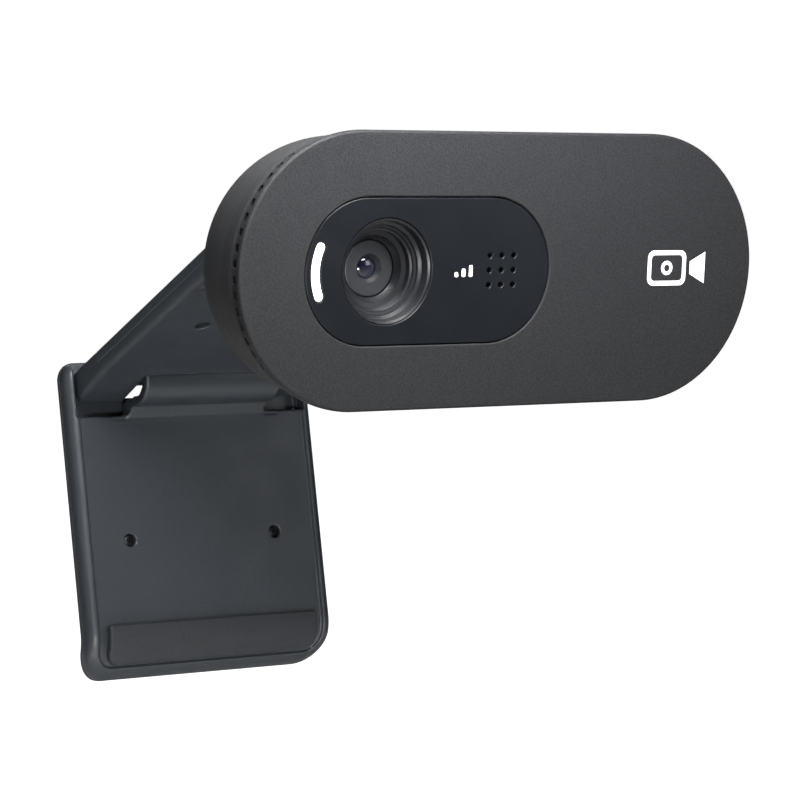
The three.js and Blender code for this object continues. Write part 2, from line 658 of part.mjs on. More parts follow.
function foldPin() {
  const solid = rod(FOLD_PIN_R, -FOLD_PIN_HALF, FOLD_PIN_HALF, FOLD_ALONG, FOLD_ABOVE, 20);
  return toMesh('fold_pin', solid, steel);
}

// ---------- flap (local origin on the fold axis, -Z down the flap, -Y out of its front face) ----------
// The flap's side outline between two depths, curling backwards at the lower end.
function flapSection(front, back, top, bottom) {
  const curl = (z) => {
    const past = Math.max(0, -z - FLAP_CURL_START) / (FLAP_LENGTH - FLAP_CURL_START);
    return FLAP_CURL * past * past;
  };
  const steps = 5;
  const shape = new THREE.Shape();
  shape.moveTo(front, top);
  for (let i = 0; i <= steps; i += 1) {
    const z = -FLAP_CURL_START + (i / steps) * (bottom + FLAP_CURL_START);
    shape.lineTo(front + curl(z), z);
  }
  for (let i = steps; i >= 0; i -= 1) {
    const z = -FLAP_CURL_START + (i / steps) * (bottom + FLAP_CURL_START);
    shape.lineTo(back + curl(z), z);
  }
  shape.lineTo(back, top);
  return shape;
}

function flapOutline(margin = 0) {
  const half = FLAP_W / 2 - margin;
  return roundedRect(
    -half, half, -FLAP_LENGTH + margin, FLAP_SHOULDER - margin,
    FLAP_TOP_CORNER - margin / 2, FLAP_BOTTOM_CORNER - margin);
}

// What has to stay clear of the arm's fingers and of the arm's cut-out above the rolled edge.
function flapClearance() {
  const half = ARM_W / 2 + GAP;
  return rod(EAR_R + GAP, -half, half, 0, 0, 28)
    .add(box(-half, half, -9, EAR_R + GAP, FLAP_POCKET, 9))
    .add(box(ROLL_X - CUT_OUT_HALF, ROLL_X + CUT_OUT_HALF, -1, 9, FLAP_WALL_TOP, 9));
}

function flapFace() {
  let face = crossSection(flapSection(FLAP_FACE, FLAP_SPLIT - 0.05, FLAP_SHOULDER, -FLAP_LENGTH), -25, 25)
    .intersect(slab(flapOutline(), -5, 15, 8));
  const recess = crossSection(
    flapSection(FLAP_FACE - 3, FLAP_FACE + FLAP_RECESS, 5, -FLAP_LENGTH + FLAP_RIM), -25, 25)
    .intersect(slab(flapOutline(FLAP_RIM), -5, 15, 8));
  face = face.subtract(recess).subtract(flapClearance());

  const [rollLeft, rollRight] = [ROLL_X - ROLL_HALF, ROLL_X + ROLL_HALF];
  const roll = rod(ROLL_R, rollLeft, rollRight, 0, 0, 28)
    .subtract(rod(SLEEVE_R + GAP / 2, -20, 20, 0, 0, 24))
    .subtract(box(-20, 20, 0.4, 9, -2.6, 9));
  const web = new THREE.Shape();
  web.moveTo(-2.9, -2);
  web.absarc(0, 0, ROLL_R + 0.05, -Math.PI * 0.8, -Math.PI * 0.42);
  web.quadraticCurveTo(FLAP_FACE + FLAP_RECESS, -3.4, FLAP_FACE + FLAP_RECESS, FLAP_POCKET - 0.5);
  web.lineTo(FLAP_SPLIT - 0.05, FLAP_POCKET - 0.5);
  web.lineTo(FLAP_SPLIT - 0.05, -3.6);
  web.lineTo(0.5, -2.9);
  web.lineTo(-1.6, -2);
  face = face.add(roll).add(crossSection(web, rollLeft, rollRight));
  for (const side of [-1, 1]) {
    face = face.subtract(post(0.85, -3, FLAP_SCREW_SEAT, side * FLAP_SCREW_X, FLAP_SCREW_Z, 16));
    face = face.subtract(post(0.6, -3, 9, side * FLAP_SCREW_X, FLAP_SCREW_Z, 12));
  }
  return toMesh('flap_face', face, charcoal);
}

function flapBackCover() {
  let cover = crossSection(flapSection(FLAP_SPLIT + 0.05, FLAP_BACK, FLAP_SHOULDER, -FLAP_LENGTH), -25, 25)
    .intersect(slab(flapOutline(), -5, 15, 8))
    .subtract(flapClearance());
  for (const side of [-1, 1]) {
    cover = cover.subtract(post(0.65, 0, FLAP_BACK - 0.5, side * FLAP_SCREW_X, FLAP_SCREW_Z, 12));
  }
  return toMesh('flap_back_cover', cover, charcoal);
}

function flapScrew(side) {
  const mesh = toMesh(side < 0 ? 'flap_screw_left' : 'flap_screw_right', screw(0.78, 0.5, 1.7), steel);
  mesh.rotation.x = Math.PI;
  mesh.position.set(side * FLAP_SCREW_X, FLAP_SCREW_SEAT - 0.05, FLAP_SCREW_Z);
  return mesh;
}

function foldSleeve() {
  const solid = rod(SLEEVE_R, -6, 6, 0, 0, 20).subtract(rod(FOLD_PIN_R + 0.06, -7, 7, 0, 0, 20));
  return toMesh('fold_sleeve', solid, nylonBlack);
}

function gripPad() {
  const floor = FLAP_FACE + FLAP_RECESS - GAP;
  const front = FLAP_FACE - PAD_PROUD;
  const lower = -FLAP_LENGTH + 1.7;
  const shape = roundedRect(-PAD_HALF, PAD_HALF, lower, PAD_TOP, 0.5, FLAP_BOTTOM_CORNER - 2.2);
  const solid = crossSection(flapSection(front, floor, 0, -FLAP_LENGTH + 1), -25, 25)
    .intersect(slab(shape, -8, 15, 8));
  return toMesh('grip_pad', solid, rubberBlack);
}

// ---------- assembly ----------
const slope = THREE.MathUtils.degToRad(ARM_SLOPE);

// A point given along the arm and above its underside, in the webcam's own frame.
function fromArm(along, above) {
  return new THREE.Vector3(
    0,
    along * Math.cos(slope) + above * Math.sin(slope),
    -along * Math.sin(slope) + above * Math.cos(slope));
}

const webcam = new THREE.Group();

const arm = new THREE.Group();
arm.rotation.x = -slope;
arm.add(armBase(), armCover(), armScrew(-1), armScrew(1), lipPad(), foldPin());
webcam.add(arm);

const head = new THREE.Group();
head.position.copy(fromArm(TILT_ALONG, TILT_ABOVE));
head.position.sub(new THREE.Vector3(0, TILT_IN_HEAD_Y, TILT_IN_HEAD_Z));
head.add(frontCover(), lensPanel(), statusLightPipe(), lensFunnel(), lensBarrel(), frontLens(), rearLens());
head.add(lensHolder(), infraredFilter(), imageSensor(), cameraBoard(), statusLed(), processorChip());
head.add(clockCrystal(), microphoneCapsule(), microphoneBoot(), cableSocket(), cableGrommet(), rearHousing());
head.add(housingScrew(-1), housingScrew(1), tiltYoke(), yokeScrew(-1), yokeScrew(1));
head.add(tiltPin(), tiltWasher(-1), tiltWasher(1));
webcam.add(head);

const flap = new THREE.Group();
flap.position.copy(fromArm(FOLD_ALONG, FOLD_ABOVE));
flap.rotation.x = -THREE.MathUtils.degToRad(FLAP_LEAN);
flap.add(flapFace(), flapBackCover(), flapScrew(-1), flapScrew(1), foldSleeve(), gripPad());
webcam.add(flap);

export default webcam;
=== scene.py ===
"""Looks for the clip-on webcam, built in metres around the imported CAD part."""
import json
import math

import bmesh
import bpy
import numpy as np
from mathutils import Matrix, Vector


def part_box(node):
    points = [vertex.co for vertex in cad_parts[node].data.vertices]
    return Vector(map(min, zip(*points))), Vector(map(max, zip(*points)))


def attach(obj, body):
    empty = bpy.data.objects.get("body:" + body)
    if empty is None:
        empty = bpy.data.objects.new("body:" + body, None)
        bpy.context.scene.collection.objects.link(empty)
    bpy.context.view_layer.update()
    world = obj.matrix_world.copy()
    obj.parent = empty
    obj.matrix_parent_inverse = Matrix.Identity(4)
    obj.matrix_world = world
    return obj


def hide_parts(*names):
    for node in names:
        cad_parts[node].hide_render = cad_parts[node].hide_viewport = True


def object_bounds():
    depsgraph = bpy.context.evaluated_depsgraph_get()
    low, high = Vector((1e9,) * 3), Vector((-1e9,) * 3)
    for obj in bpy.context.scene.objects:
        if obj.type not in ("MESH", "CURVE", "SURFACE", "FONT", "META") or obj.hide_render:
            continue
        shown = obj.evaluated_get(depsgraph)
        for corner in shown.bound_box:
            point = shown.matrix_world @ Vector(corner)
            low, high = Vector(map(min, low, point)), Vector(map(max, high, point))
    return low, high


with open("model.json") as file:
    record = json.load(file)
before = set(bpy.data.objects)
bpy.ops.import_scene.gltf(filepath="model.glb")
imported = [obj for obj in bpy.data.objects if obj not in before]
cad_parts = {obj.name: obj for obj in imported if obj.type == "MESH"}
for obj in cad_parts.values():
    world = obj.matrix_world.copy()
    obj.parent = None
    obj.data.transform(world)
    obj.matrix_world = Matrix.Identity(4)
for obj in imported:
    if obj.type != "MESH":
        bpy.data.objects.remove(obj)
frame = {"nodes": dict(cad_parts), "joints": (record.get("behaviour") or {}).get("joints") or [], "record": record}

CAD_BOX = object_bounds()
MM = 0.001

# ---------------------------------------------------------------- camera
AZIMUTH, ELEVATION, ROLL = (math.radians(a) for a in (-34.45, 7.01, 2.58))
CAMERA_PLACE = Vector((-0.23362, -0.37172, 0.04496))
LENS_MM = 154.35


def place_camera():
    back = Vector((math.sin(AZIMUTH) * math.cos(ELEVATION), -math.cos(AZIMUTH) * math.cos(ELEVATION),
                   math.sin(ELEVATION)))
    level = Vector((math.cos(AZIMUTH), math.sin(AZIMUTH), 0))
    rise = back.cross(level)
    right = level * math.cos(ROLL) + rise * math.sin(ROLL)
    up = rise * math.cos(ROLL) - level * math.sin(ROLL)
    data = bpy.data.cameras.new("camera")
    data.lens = LENS_MM
    data.sensor_width = 36
    data.clip_start = 0.01
    data.clip_end = 200
    camera = bpy.data.objects.new("camera", data)
    bpy.context.scene.collection.objects.link(camera)
    turn = Matrix((right, up, back)).transposed().to_4x4()
    camera.matrix_world = Matrix.Translation(CAMERA_PLACE) @ turn
    bpy.context.scene.camera = camera


place_camera()

# ---------------------------------------------------------------- local frames, in millimetres
SCALE = Matrix.Scale(MM, 4)
cover_low, cover_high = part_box("front_cover")
HEAD = Matrix.Translation((0, cover_low.y, (cover_low.z + cover_high.z) / 2)) @ SCALE
seat = next(m for m in frame["record"]["mounts"] if m["name"] == "monitor_seat")
SLOPE = math.atan2(-seat["axis"][1], -seat["axis"][2])
ARM = Matrix.Rotation(-SLOPE, 4, "X") @ SCALE
fold = next(j for j in frame["joints"] if j["name"] == "flap_fold")
FLAP_LEAN = math.radians(14.9)
FLAP = Matrix.Translation(fold["pos_m"]) @ Matrix.Rotation(-FLAP_LEAN, 4, "X") @ SCALE

# ---------------------------------------------------------------- sizes (mm), as in the CAD part
HEAD_W, HEAD_H, HEAD_DEPTH = 72.9, 31.9, 18.0
PANEL_W, PANEL_H, PANEL_X = 33.9, 17.0, -10.9
PANEL_END_X = PANEL_X - (PANEL_W - PANEL_H) / 2
LENS_X, LENS_R = -16.7, 6.1
MIC_X, MIC_PITCH, MIC_R = -0.8, 1.7, 0.33
LIGHT_R, LIGHT_W, LIGHT_HALF = 6.95, 1.0, math.radians(23.5)
HOUSING_INSET, BAND_END, BAND_TAPER, DOME_INSET = 0.45, 5.0, 0.48, 11.2
STRIP_INSET, STRIP_END, VENT_COUNT, VENT_PITCH = 0.36, 2.3, 18, 6.6
HOUSING_WALL = 1.6
SCREW_X, SCREW_SEAT = 29.8, 12.2
GROMMET_X = 17.0
FOLD_S, FOLD_W = 18.8, 0.95
TILT_S, TILT_W = -31.0, 2.0
ARM_HALF, ARM_FRONT, ARM_THICK, ARM_SPLIT = 17.2, -19.0, 3.2, 1.6
EAR_R, EAR_FRONT, EAR_DROP, CUT_OUT_HALF = 4.1, 14.6, 0.5, 10.6
WALL_TOP = -1.8
ROLL_X, ROLL_R, ROLL_HALF = 0.65, 3.4, 10.35
KNUCKLE_R = 2.8
FINGER_REACH = 17.5
YOKE_SCREW_X, YOKE_SCREW_Z, ARM_SCREW_X = 7.0, -1.6, 9.5
FLAP_SCREW_X, FLAP_SCREW_Z = 11.15, -20.8
ARC_STEPS = 72


# ---------------------------------------------------------------- materials
def blank(name):
    mat = bpy.data.materials.new(name)
    mat.use_nodes = True
    nodes, links = mat.node_tree.nodes, mat.node_tree.links
    return mat, nodes, links, nodes["Principled BSDF"]


def noise(nodes, links, scale, detail=3.0, stretch=None):
    coords = nodes.new("ShaderNodeTexCoord")
    texture = nodes.new("ShaderNodeTexNoise")
    texture.inputs["Scale"].default_value = scale
    texture.inputs["Detail"].default_value = detail
    if stretch:
        mapping = nodes.new("ShaderNodeMapping")
        mapping.inputs["Scale"].default_value = stretch
        links.new(coords.outputs["Object"], mapping.inputs["Vector"])
        links.new(mapping.outputs["Vector"], texture.inputs["Vector"])
    else:
        links.new(coords.outputs["Object"], texture.inputs["Vector"])
    return texture.outputs["Fac"]


def ramp(nodes, links, value, low, high, start=0.3, end=0.7):
    node = nodes.new("ShaderNodeMapRange")
    node.inputs["From Min"].default_value = start
    node.inputs["From Max"].default_value = end
    node.inputs["To Min"].default_value = low
    node.inputs["To Max"].default_value = high
    links.new(value, node.inputs["Value"])
    return node.outputs["Result"]


def tint(nodes, links, factor, a, b):
    mix = nodes.new("ShaderNodeMix")
    mix.data_type = "RGBA"
    mix.inputs["A"].default_value = (*a, 1)
    mix.inputs["B"].default_value = (*b, 1)
    links.new(factor, mix.inputs["Factor"])
    return mix.outputs["Result"]


def bump(nodes, links, height, distance, strength, under=None):
    node = nodes.new("ShaderNodeBump")
    node.inputs["Distance"].default_value = distance
    node.inputs["Strength"].default_value = strength
    links.new(height, node.inputs["Height"])
    if under:
        links.new(under, node.inputs["Normal"])
    return node.outputs["Normal"]


def moulded(name, colour, roughness, grain, depth, spread=0.18, specular=0.5, wear=0.5):
    """Moulded plastic or rubber: mottled colour, uneven gloss, fine grain, edges worn lighter."""
    mat, nodes, links, bsdf = blank(name)
    dark = tuple(c * (1 - spread) for c in colour)
    light = tuple(c * (1 + spread) for c in colour)
    speckle = ramp(nodes, links, noise(nodes, links, grain * 0.8, 2.0), 0.0, 1.0, 0.35, 0.65)
    base = tint(nodes, links, speckle, dark, light)
    geometry = nodes.new("ShaderNodeNewGeometry")
    edges = ramp(nodes, links, geometry.outputs["Pointiness"], 0.0, wear, 0.52, 0.62)
    worn = nodes.new("ShaderNodeMix")
    worn.data_type = "RGBA"
    links.new(edges, worn.inputs["Factor"])
    links.new(base, worn.inputs["A"])
    worn.inputs["B"].default_value = (*(min(1, c * 2.2 + 0.01) for c in colour), 1)
    links.new(worn.outputs["Result"], bsdf.inputs["Base Color"])
    patches = ramp(nodes, links, noise(nodes, links, 180.0, 4.0), roughness - 0.05, roughness + 0.05)
    links.new(patches, bsdf.inputs["Roughness"])
    fine = bump(nodes, links, noise(nodes, links, grain, 3.0), depth, 0.8)
    links.new(fine, bsdf.inputs["Normal"])
    bsdf.inputs["Specular IOR Level"].default_value = specular
    return mat


def metal(name, colour, roughness, stretch):
    mat, nodes, links, bsdf = blank(name)
    lines = noise(nodes, links, 900.0, 4.0, stretch)
    darker = tuple(c * 0.8 for c in colour)
    links.new(tint(nodes, links, lines, darker, colour), bsdf.inputs["Base Color"])
    links.new(ramp(nodes, links, lines, roughness - 0.08, roughness + 0.1), bsdf.inputs["Roughness"])
    links.new(bump(nodes, links, lines, 0.000004, 0.5), bsdf.inputs["Normal"])
    bsdf.inputs["Metallic"].default_value = 1.0
    return mat


def glowing(name, colour, strength):
    mat, nodes, links, bsdf = blank(name)
    soft = ramp(nodes, links, noise(nodes, links, 400.0, 1.0), strength * 0.95, strength * 1.05)
    bsdf.inputs["Base Color"].default_value = (*colour, 1)
    bsdf.inputs["Roughness"].default_value = 0.3
    bsdf.inputs["Emission Color"].default_value = (*colour, 1)
    links.new(soft, bsdf.inputs["Emission Strength"])
    return mat


def coated_glass(name, colour, coat):
    """Dark coated lens glass; the coating shows most at glancing angles."""
    mat, nodes, links, bsdf = blank(name)
    facing = nodes.new("ShaderNodeLayerWeight")
    facing.inputs["Blend"].default_value = 0.35
    links.new(tint(nodes, links, facing.outputs["Facing"], colour, coat), bsdf.inputs["Base Color"])
    smear = ramp(nodes, links, noise(nodes, links, 600.0, 2.0), 0.02, 0.07)
    links.new(smear, bsdf.inputs["Roughness"])
    bsdf.inputs["Specular IOR Level"].default_value = 0.8
    bsdf.inputs["Coat Weight"].default_value = 1.0
    bsdf.inputs["Coat Roughness"].default_value = 0.02
    return mat


M = {
    "cover": moulded("cover_grain", (0.0115, 0.012, 0.0132), 0.62, 5200.0, 0.00004,
                     spread=0.3, specular=0.19, wear=0.0),
    "housing": moulded("housing_grain", (0.0125, 0.013, 0.0143), 0.6, 4200.0, 0.00004,
                       spread=0.25, specular=0.3),
    "panel": moulded("panel_satin", (0.0038, 0.0047, 0.0062), 0.36, 2600.0, 0.000006,
                     spread=0.06, specular=0.23, wear=0.0),
    "funnel": moulded("funnel_satin", (0.006, 0.0065, 0.008), 0.33, 3000.0, 0.000008,
                      spread=0.1, specular=0.4, wear=0.0),
    "arm": moulded("arm_satin", (0.020, 0.024, 0.029), 0.42, 3800.0, 0.000012, spread=0.1, wear=0.25),
    "barrel": moulded("barrel_nylon", (0.010, 0.011, 0.014), 0.5, 3000.0, 0.00001, wear=0.2),
    "rubber": moulded("pad_rubber", (0.0172, 0.0195, 0.0225), 0.66, 3600.0, 0.00002,
                      spread=0.15, specular=0.38),
    "print": moulded("white_print", (0.80, 0.81, 0.82), 0.5, 4000.0, 0.000004, spread=0.03, wear=0.0),
    "white": moulded("white_nylon", (0.78, 0.78, 0.75), 0.45, 2000.0, 0.000008, spread=0.04, wear=0.1),
    "light": glowing("light_guide", (0.93, 0.96, 1.0), 2.2),
    "glass": coated_glass("lens_coating", (0.004, 0.005, 0.010), (0.05, 0.06, 0.10)),
    "steel": metal("plated_steel", (0.42, 0.43, 0.45), 0.32, (1, 14, 1)),
    "black_screw": metal("blackened_steel", (0.035, 0.036, 0.040), 0.42, (1, 10, 1)),
    "can": metal("tin_can", (0.66, 0.67, 0.68), 0.28, (12, 1, 1)),
    "board": moulded("green_soldermask", (0.010, 0.070, 0.030), 0.3, 1500.0, 0.000012, spread=0.2),
    "chip": moulded("black_epoxy", (0.012, 0.012, 0.012), 0.5, 2600.0, 0.00001),
}


# ---------------------------------------------------------------- mesh building
def bmesh_of(rings, closed=False, cap=False):
    """Skins rings that all have the same number of points."""
    bm = bmesh.new()
    loops = [[bm.verts.new(p) for p in ring] for ring in rings]
    pairs = list(zip(loops, loops[1:]))
    if closed:
        pairs.append((loops[-1], loops[0]))
    count = len(rings[0])
    for a, b in pairs:
        for i in range(count):
            j = (i + 1) % count
            bm.faces.new((a[i], a[j], b[j], b[i]))
    if cap:
        bm.faces.new(loops[0])
        bm.faces.new(loops[-1])
    bmesh.ops.remove_doubles(bm, verts=bm.verts, dist=1e-5)
    bmesh.ops.recalc_face_normals(bm, faces=bm.faces)
    return bm


def lathe(profile, x=0.0, z=0.0, steps=96, closed=True):
    """A body of revolution about Y from (radius, y) points."""
    rings = []
    for r, y in profile:
        angles = [2 * math.pi * i / steps for i in range(steps)]
        rings.append([(x + r * math.cos(a), y, z + r * math.sin(a)) for a in angles])
    return bmesh_of(rings, closed=closed)


def stadium(half_side, radius, y, centre=0.0, steps=ARC_STEPS):
    ring = []
    for middle, start in ((centre + half_side, 90.0), (centre - half_side, -90.0)):
        for i in range(steps + 1):
            a = math.radians(start - 180.0 * i / steps)
            ring.append((middle + radius * math.cos(a), y, radius * math.sin(a)))
    return ring


def head_ring(inset, y):
    return stadium((HEAD_W - HEAD_H) / 2, HEAD_H / 2 - inset, y)


def window_ring(grow, y):
    return stadium((PANEL_W - PANEL_H) / 2, PANEL_H / 2 + grow, y, PANEL_X)


def object_of(name, bm):
    mesh = bpy.data.meshes.new(name)
    bm.to_mesh(mesh)
    bm.free()
    piece = bpy.data.objects.new(name, mesh)
    bpy.context.scene.collection.objects.link(piece)
    return piece


def applied(piece):
    """Applies a piece's modifiers."""
    bpy.context.view_layer.update()
    result = bpy.data.meshes.new_from_object(piece.evaluated_get(bpy.context.evaluated_depsgraph_get()))
    piece.modifiers.clear()
    piece.data = result


def cut(piece, cutters):
    """Takes solids, each its own bmesh, out of a piece."""
    joined = bmesh.new()
    for cutter in cutters:
        scratch = bpy.data.meshes.new("scratch")
        cutter.to_mesh(scratch)
        cutter.free()
        joined.from_mesh(scratch)
        bpy.data.meshes.remove(scratch)
    tool = object_of("cutter", joined)
    modifier = piece.modifiers.new("cut", "BOOLEAN")
    modifier.operation = "DIFFERENCE"
    modifier.solver = "EXACT"
    modifier.object = tool
    applied(piece)
    bpy.data.objects.remove(tool)


def finish(piece, place, body, material, replaced=(), crease=32.0):
    """Puts a piece in its place, shades it smooth up to the crease angle, and ties it to its body."""
    piece.data.transform(place)
    piece.data.polygons.foreach_set("use_smooth", [True] * len(piece.data.polygons))
    if crease:
        piece.data.set_sharp_from_angle(angle=math.radians(crease))
    piece.data.materials.clear()
    piece.data.materials.append(M[material])
    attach(piece, body)
    if replaced:
        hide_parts(*replaced)
    return piece


def plate(name, outlines, y_front, y_back, bevel):
    """A flat plate in X and Z with holes and softly rounded edges: the first outline is its edge."""
    curve = bpy.data.curves.new(name, "CURVE")
    curve.dimensions = "2D"
    curve.fill_mode = "BOTH"
    curve.extrude = (y_back - y_front) / 2 - bevel
    curve.bevel_depth = bevel
    curve.bevel_resolution = 3
    curve.offset = -bevel
    for number, outline in enumerate(outlines):
        area = sum(a[0] * b[1] - b[0] * a[1] for a, b in zip(outline, outline[1:] + outline[:1]))
        if (area > 0) == (number > 0):
            outline = outline[::-1]
        spline = curve.splines.new("POLY")
        spline.points.add(len(outline) - 1)
        spline.points.foreach_set("co", [c for x, z in outline for c in (x, z, 0, 1)])
        spline.use_cyclic_u = True
    source = bpy.data.objects.new(name + "_curve", curve)
    bpy.context.scene.collection.objects.link(source)
    bpy.context.view_layer.update()
    mesh = bpy.data.meshes.new_from_object(source.evaluated_get(bpy.context.evaluated_depsgraph_get()))
    bpy.data.objects.remove(source)
    upright = Matrix.Rotation(math.pi / 2, 4, "X")
    mesh.transform(Matrix.Translation((0, (y_front + y_back) / 2, 0)) @ upright)
    bm = bmesh.new()
    bm.from_mesh(mesh)
    bmesh.ops.remove_doubles(bm, verts=bm.verts, dist=1e-5)
    bmesh.ops.recalc_face_normals(bm, faces=bm.faces)
    return object_of(name, bm)


def circle(x, z, r, steps=48):
    angles = [2 * math.pi * i / steps for i in range(steps)]
    return [(x + r * math.cos(a), z + r * math.sin(a)) for a in angles]


def crescent(margin):
    """Outline of the status light: an arc with round ends."""
    width = LIGHT_W / 2 + margin
    steps, end_steps = 32, 12

    def spot(radius, a, centre=(PANEL_END_X, 0.0)):
        return (centre[0] + radius * math.cos(a), centre[1] + radius * math.sin(a))

    def arc(radius, start, stop):
        return [spot(radius, start + (stop - start) * i / steps) for i in range(steps + 1)]

    def round_end(turn, start):
        middle = spot(LIGHT_R, turn)
        return [spot(width, start + math.pi * i / end_steps, middle) for i in range(1, end_steps)]

    upper, lower = math.pi - LIGHT_HALF, math.pi + LIGHT_HALF
    points = arc(LIGHT_R + width, upper, lower) + round_end(lower, lower)
    return points + arc(LIGHT_R - width, lower, upper) + round_end(upper, upper + math.pi)


# ---------------------------------------------------------------- smooth solids from distance functions
def length(*parts):
    return np.sqrt(sum(np.maximum(p, 0) ** 2 for p in parts))


def both(a, b, r):
    """The overlap of two solids, with their common edge rounded to radius r."""
    return np.minimum(np.maximum(a + r, b + r), 0) + length(a + r, b + r) - r


def blend(a, b, k):
    """The union of two solids, with a fillet of about k."""
    h = np.clip(0.5 + 0.5 * (b - a) / k, 0, 1)
    return b + (a - b) * h - k * h * (1 - h)


def without(a, b, k):
    """Solid a less solid b, with the edge eased by about k."""
    return -blend(-a, b, k)


def rectangle(u, v, u0, u1, v0, v1, r):
    du = np.abs(u - (u0 + u1) / 2) - (u1 - u0) / 2 + r
    dv = np.abs(v - (v0 + v1) / 2) - (v1 - v0) / 2 + r
    return np.minimum(np.maximum(du, dv), 0) + length(du, dv) - r


def span(u, u0, u1):
    return np.abs(u - (u0 + u1) / 2) - (u1 - u0) / 2


def taper(u, v, start, end, r0, r1):
    """Flat shape around a line whose radius changes from r0 to r1."""
    du, dv = end[0] - start[0], end[1] - start[1]
    t = np.clip(((u - start[0]) * du + (v - start[1]) * dv) / (du * du + dv * dv), 0, 1)
    return np.hypot(u - start[0] - t * du, v - start[1] - t * dv) - (r0 + (r1 - r0) * t)


def surface(name, solid, low, high, cell):
    """The skin of a distance function between two corners, one quad for each grid edge it crosses."""
    axes = [np.arange(lo - 2.5 * cell, hi + 2.5 * cell, cell) for lo, hi in zip(low, high)]
    grid = np.meshgrid(*axes, indexing="ij")
    d = solid(*grid)
    shape = np.array(d.shape)
    inside = d < 0
    origin = np.array([a[0] for a in axes])
    total = np.zeros((d.size, 3))
    count = np.zeros(d.size)
    stride = np.array([shape[1] * shape[2], shape[2], 1])
    quads = []
    for axis in range(3):
        b, c = (axis + 1) % 3, (axis + 2) % 3
        near = [slice(None)] * 3
        far = [slice(None)] * 3
        near[axis], far[axis] = slice(0, -1), slice(1, None)
        found = np.argwhere(inside[tuple(near)] != inside[tuple(far)])
        step = np.eye(3, dtype=int)
        start = found @ stride
        d0, d1 = d.ravel()[start], d.ravel()[start + stride[axis]]
        place = found + (d0 / (d0 - d1))[:, None] * step[axis]
        around = [start - stride[b] - stride[c], start - stride[c], start, start - stride[b]]
        for cells in around:
            for k in range(3):
                total[:, k] += np.bincount(cells, place[:, k], d.size)
            count += np.bincount(cells, minlength=d.size)
        ring = np.stack(around, 1)
        leaving = inside.ravel()[start]
        quads.append(np.where(leaving[:, None], ring, ring[:, ::-1]))
    used = np.flatnonzero(count)
    points = origin + cell * total[used] / count[used][:, None]
    number = np.zeros(d.size, int)
    number[used] = np.arange(len(used))
    faces = number[np.concatenate(quads)]

    def slope(at):
        eps = 0.02
        shift = np.eye(3) * eps
        parts = [solid(*(at + s).T) - solid(*(at - s).T) for s in shift]
        return np.stack(parts, 1) / (2 * eps)

    for _ in range(3):
        gradient = slope(points)
        steepness = np.maximum((gradient ** 2).sum(1), 0.2)
        move = (solid(*points.T) / steepness)[:, None] * gradient
        points = points - np.clip(move, -0.5 * cell, 0.5 * cell)
    mesh = bpy.data.meshes.new(name)
    mesh.from_pydata(points.tolist(), [], faces.tolist())
    mesh.update()
    piece = bpy.data.objects.new(name, mesh)
    bpy.context.scene.collection.objects.link(piece)
    return piece


# ---------------------------------------------------------------- camera head
def quarter(r, steps=5):
    """(inset, depth) points around a rounded front edge."""
    angles = [math.pi / 2 * i / steps for i in range(steps + 1)]
    return [(r * (1 - math.sin(a)), r * (1 - math.cos(a))) for a in angles]


def vent_pockets():
    cutters = []
    for side in (-1, 1):
        for i in range(VENT_COUNT):
            a = math.radians((i - (VENT_COUNT - 1) / 2) * VENT_PITCH)
            bm = bmesh.new()
            bmesh.ops.create_cube(bm, size=1.0)
            bmesh.ops.scale(bm, vec=(1.8, 1.05, 0.95), verts=bm.verts)
            bmesh.ops.bevel(bm, geom=bm.edges[:], offset=0.16, segments=3, profile=0.5, affect="EDGES")
            bmesh.ops.translate(bm, vec=(HEAD_H / 2 - STRIP_INSET, 1.45, 0), verts=bm.verts)
            turn = Matrix.Rotation(a + (math.pi if side < 0 else 0), 4, "Y")
            move = Matrix.Translation((side * (HEAD_W - HEAD_H) / 2, 0, 0))
            bmesh.ops.transform(bm, matrix=move @ turn, verts=bm.verts)
            cutters.append(bm)
    return cutters


def flat_front(piece):
    """Keeps the wide flat faces from borrowing their neighbours' shading."""
    for face in piece.data.polygons:
        if abs(face.normal.y) > 0.9999:
            face.use_smooth = False


def front_cover():
    rings = [window_ring(0, 1.7)] + [window_ring(i, y) for i, y in reversed(quarter(0.16))]
    rings += [window_ring(0.24, 0), head_ring(0.42, 0)] + [head_ring(i, y) for i, y in quarter(0.32)]
    rim = [(0, 0.66), (0.03, 0.73), (0.1, 0.76)]
    strip = [(STRIP_INSET - 0.06, 0.76), (STRIP_INSET, 0.82), (STRIP_INSET, 2.1), (STRIP_INSET + 0.1, 2.2)]
    rings += [head_ring(inset, y) for inset, y in rim + strip + [(3.0, 2.2)]]
    piece = object_of("front_cover_shell", bmesh_of(rings, closed=True))
    cut(piece, vent_pockets())
    flat_front(finish(piece, HEAD, "head", "cover", ["front_cover"]))


def lens_panel():
    edge = [(x, z) for x, _, z in stadium((PANEL_W - PANEL_H) / 2, PANEL_H / 2 - 0.14, 0, PANEL_X)]
    outlines = [edge, circle(LENS_X, 0, LENS_R, 128), crescent(0.08)]
    for column in (-1, 0, 1):
        for row in (-1, 0, 1):
            outlines.append(circle(MIC_X + column * MIC_PITCH, row * MIC_PITCH, MIC_R, 24))
    piece = plate("lens_panel_plate", outlines, 0.12, 1.4, 0.13)
    flat_front(finish(piece, HEAD, "head", "panel", ["lens_panel"]))


def status_light():
    piece = plate("status_light_lens", [crescent(0)], 0.08, 3.5, 0.15)
    finish(piece, HEAD, "head", "light", ["status_light_pipe"])


